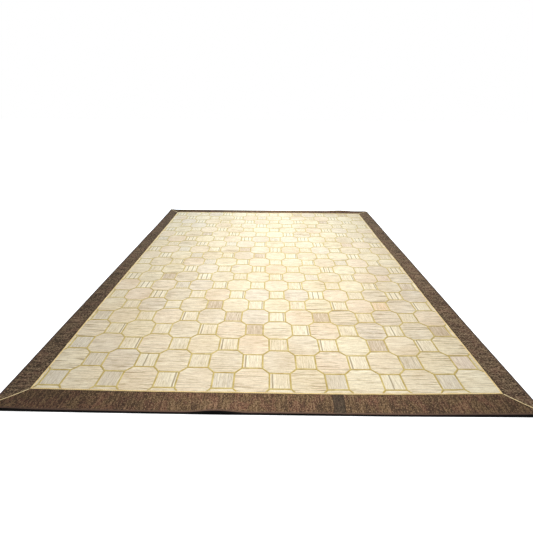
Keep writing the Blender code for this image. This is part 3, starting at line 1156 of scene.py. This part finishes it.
dark_streak = span(tree, streaks(tree, along, across, 5.0, 210.0, lot, 1.0), 0.57, 0.66)
dark_share = reckon(tree, "MULTIPLY", dark_streak, painted(tree, "streaks"))
thin_streaks = streaks(tree, along, across, 20.0, 320.0, reckon(tree, "ADD", lot, 4.7))
pale_streaks = streaks(tree, along, across, 8.0, 90.0, reckon(tree, "ADD", lot, 9.3))
fine_threads = streaks(tree, along, across, 110.0, 800.0, lot)
old_places = node(tree, "ShaderNodeTexNoise", {"Vector": own_place(tree), "Scale": 2.6,
                                               "Detail": 3.0}).outputs[0]
from_stripes = [reckon(tree, "ABSOLUTE", reckon(tree, "SUBTRACT", across, painted(tree, name)))
                for name in ("stripe", "second_stripe")]
from_stripe = reckon(tree, "MINIMUM", *from_stripes)
uneven = reckon(tree, "MULTIPLY_ADD", streaks(tree, along, across, 30.0, 90.0, lot), 0.0030,
                reckon(tree, "SUBTRACT", from_stripe, 0.0015))

colour = layered(tree, tint, ((pale_streaks, 0.52, 0.70, 0.0, 0.5, dyed(249, 242, 220)),))
colour = mixed(tree, dark_share, colour, dyed(172, 157, 134), "MULTIPLY")
colour = layered(tree, colour, (
    # pattern, from, to, share there, share there, colour and how it is laid on
    (thin_streaks, 0.49, 0.66, 0.0, 0.80, dyed(212, 202, 184), "MULTIPLY"),
    (fine_threads, 0.40, 0.65, 0.0, 0.70, dyed(227, 220, 206), "MULTIPLY"),
    (old_places, 0.40, 0.65, 0.0, 0.55, dyed(242, 234, 222), "MULTIPLY"),
    (uneven, 0.014, 0.021, 0.25, 0.0, dyed(247, 239, 216)),
    (uneven, 0.0028, 0.0066, 0.95, 0.0, dyed(186, 177, 163), "MULTIPLY"),
))
tree.links.new(colour, surface.inputs["Base Color"])

weave_relief = reckon(tree, "ADD", reckon(tree, "MULTIPLY", ripple(tree, across, 0.0021), 0.6),
                      reckon(tree, "MULTIPLY", fine_threads, 0.8))
emboss(tree, surface, weave_relief, 0.00035)
dress(patchwork, cream)
print(cream.name, "has", len(tree.nodes), "nodes")

# %% [markdown]
# The mustard yarn and the paler cords are the same thing in two sizes: strands twisted round each
# other. Where two strands meet the light can't get in, so the colour goes darker in the same
# slanting wave that shapes the twist, and each strand is a little brighter on its back.

# %% Yarn and cords
def plied_yarn(name, base, groove_shade_and_dark_tone, pale, pitch, slant, depth):
    """Wool twisted from strands: pitch is the length of a turn, slant how far it leans."""
    made, tree, surface = start_cloth(name, 0.86, 0.25)
    along, across = read_threads(tree)
    lean = reckon(tree, "MULTIPLY_ADD", across, slant, along)
    strand = ripple(tree, lean, pitch)
    hairs = streaks(tree, lean, across, 500.0, 160.0)
    lengths = streaks(tree, along, across, 14.0, 5.0)
    colour = layered(tree, base, (
        # Painted shade: the colour goes darker in the groove where two strands meet; the darker random
        # lengths below use the same colour as a real tone
        (strand, 0.05, 0.55, 0.75, 0.0, groove_shade_and_dark_tone),
        (hairs, 0.50, 0.75, 0.0, 0.45, pale),
        (lengths, 0.42, 0.68, 0.0, 0.55, groove_shade_and_dark_tone),
        (lengths, 0.30, 0.50, 0.45, 0.0, pale),
    ))
    tree.links.new(colour, surface.inputs["Base Color"])
    relief = reckon(tree, "MULTIPLY_ADD", hairs, 0.35, strand)
    emboss(tree, surface, relief, depth)
    print(name, "has", len(tree.nodes), "nodes")
    return made


mustard = plied_yarn("mustard_yarn", dyed(200, 175, 100), dyed(158, 135, 68), dyed(218, 201, 136),
                     0.0048, 0.9, 0.0005)
pale_gold = plied_yarn("pale_gold_cord", dyed(237, 210, 148), dyed(206, 173, 108),
                       dyed(248, 230, 182), TWIST, TWIST_LEAN * TWIST / (SEAM_CORD_WIDTH / 2), 0.0003)
cream_gold = plied_yarn("cream_gold_cord", dyed(252, 230, 176), dyed(236, 208, 148),
                        dyed(254, 240, 204), TWIST, TWIST_LEAN * TWIST / (MITRE_CORD_WIDTH / 2), 0.0003)
dress(yarn, mustard)
for solid, cord in cords.items():
    dress(cord, pale_gold if solid.startswith("seam") else cream_gold)

# %% [markdown]
# The border is dark brown wool with flecks of black, tan and rust, since its yarn was spun from
# mixed fleece. The flecks are short and lie along the ribs, so they come from noises that are
# stretched that way. At the outer edge the cloth is turned over and smooth. Its side and the outer
# few millimetres of its top are painted nearly black, a painted shade for the thin dark line of
# shadow that the rug has along the floor. The valleys between the ribs are painted darker, and so is
# the cloth just beside each seam cord, both as painted shade. The strips along the two long sides are
# paler and more worn, and the short insert is greyer. Towards the rug's left and right the whole
# border is painted darker as well, a painted shade where the light falls off.

# %% The ribbed border
# Painted shade: a dimming that darkens the border towards the rug's left and right
SIDES_PAINTED_SHADE = dyed(204, 204, 204)
# Painted shade: near black for the side and outer edge of the border, standing in for the shadow line
# along the floor
EDGE_PAINTED_SHADE = dyed(9, 7, 7)


def ribbed_wool(name, base, dark, tan, rust, turned):
    """Wool woven in ribs, flecked, with a smooth turned edge. Ribs run across the strip."""
    made, tree, surface = start_cloth(name, 0.95, 0.03)
    along, from_edge = read_threads(tree)
    rib = ripple(tree, along, RIB)
    rib_tones = streaks(tree, along, from_edge, 75.0, 9.0, 7.0)
    dark_flecks = streaks(tree, along, from_edge, 230.0, 75.0, 1.0, 3.0)
    tan_flecks = streaks(tree, along, from_edge, 220.0, 80.0, 5.0, 3.0)
    rusty_places = streaks(tree, along, from_edge, 16.0, 11.0, 9.0, 3.0)
    lengths = streaks(tree, along, from_edge, 5.0, 2.0, 3.0)
    mottling = streaks(tree, along, from_edge, 40.0, 60.0, 4.0, 2.0)
    colour = layered(tree, base, (
        (rusty_places, 0.44, 0.60, 0.0, 0.85, rust),
        (lengths, 0.38, 0.62, 0.0, 0.35, dark),
        (mottling, 0.36, 0.50, 0.28, 0.0, dark),
        (mottling, 0.50, 0.66, 0.0, 0.22, tan),
        (rib_tones, 0.40, 0.52, 0.60, 0.0, dark),
        (rib_tones, 0.54, 0.68, 0.0, 0.55, tan),
        (dark_flecks, 0.48, 0.60, 0.0, 0.90, dark),
        (tan_flecks, 0.53, 0.66, 0.0, 0.90, tan),
        # Painted shade in the valleys between the ribs, on the same sine as the ribs' relief
        (rib, 0.0, 0.6, 0.5, 0.0, dark),
    ))
    band = mixed(tree, span(tree, dark_flecks, 0.40, 0.70, 0.0, 0.35), turned, dark)
    colour = mixed(tree, span(tree, from_edge, 0.0150, 0.0190), band, colour)
    # Painted shade: the border is darkened towards the rug's left and right, where the light falls off
    sideways = node(tree, "ShaderNodeSeparateXYZ", {"Vector": own_place(tree)}).outputs["X"]
    colour = layered(tree, colour, (
        (sideways, -0.3, -1.3, 0.0, 0.85, SIDES_PAINTED_SHADE, "MULTIPLY"),
        (sideways, 0.5, 1.4, 0.0, 0.48, SIDES_PAINTED_SHADE, "MULTIPLY"),
        # Painted shadow: the cloth just beside the seam cord is darkened
        (painted(tree, "painted_cord_shadow"), 0.2, 0.9, 0.0, 0.7, dark),
    ))
    # Painted shade: the side and the outer few millimetres of the turned edge go nearly black
    colour = mixed(tree, span(tree, from_edge, 0.0050, 0.0086), EDGE_PAINTED_SHADE, colour)
    tree.links.new(colour, surface.inputs["Base Color"])
    fuzz = streaks(tree, along, from_edge, 900.0, 500.0, 2.0)
    emboss(tree, surface, reckon(tree, "ADD", fuzz, dark_flecks), 0.0004)
    print(name, "has", len(tree.nodes), "nodes")
    return made


brown = ribbed_wool("brown_ribbed_wool", dyed(122, 97, 68), dyed(53, 40, 33), dyed(167, 135, 100),
                    dyed(133, 92, 73), dyed(101, 78, 64))
worn = ribbed_wool("worn_ribbed_wool", dyed(135, 111, 85), dyed(44, 34, 27), dyed(203, 172, 137),
                   dyed(140, 104, 84), dyed(110, 89, 74))
grey = ribbed_wool("grey_ribbed_wool", dyed(92, 77, 61), dyed(50, 42, 35), dyed(112, 96, 75),
                   dyed(94, 74, 60), dyed(92, 74, 62))
wools = {"border_insert": grey, "border_left": worn, "border_right": worn}
for solid, strip in strips.items():
    dress(strip, wools.get(solid, brown))

# %% [markdown]
# ## Put every piece in place
#
# Every piece takes the place of its solid and moves with the rug's one body. The yarn and the cords
# go with the ground, because they are worked into it.

# %% Put the pieces in the place of the solids
for piece in bpy.context.scene.objects:
    if piece.type == "MESH" and "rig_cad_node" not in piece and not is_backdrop(piece):
        turn_to(piece)
        bpy.ops.object.shade_smooth_by_angle(angle=math.radians(70))
        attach(piece, "root")
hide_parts("field")
for solid, cord in cords.items():
    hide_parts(solid)

for solid, side, *_ in STRIPS:
    strip = strips[solid]
    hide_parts(solid)

# %% Leave edit mode
close_edit()
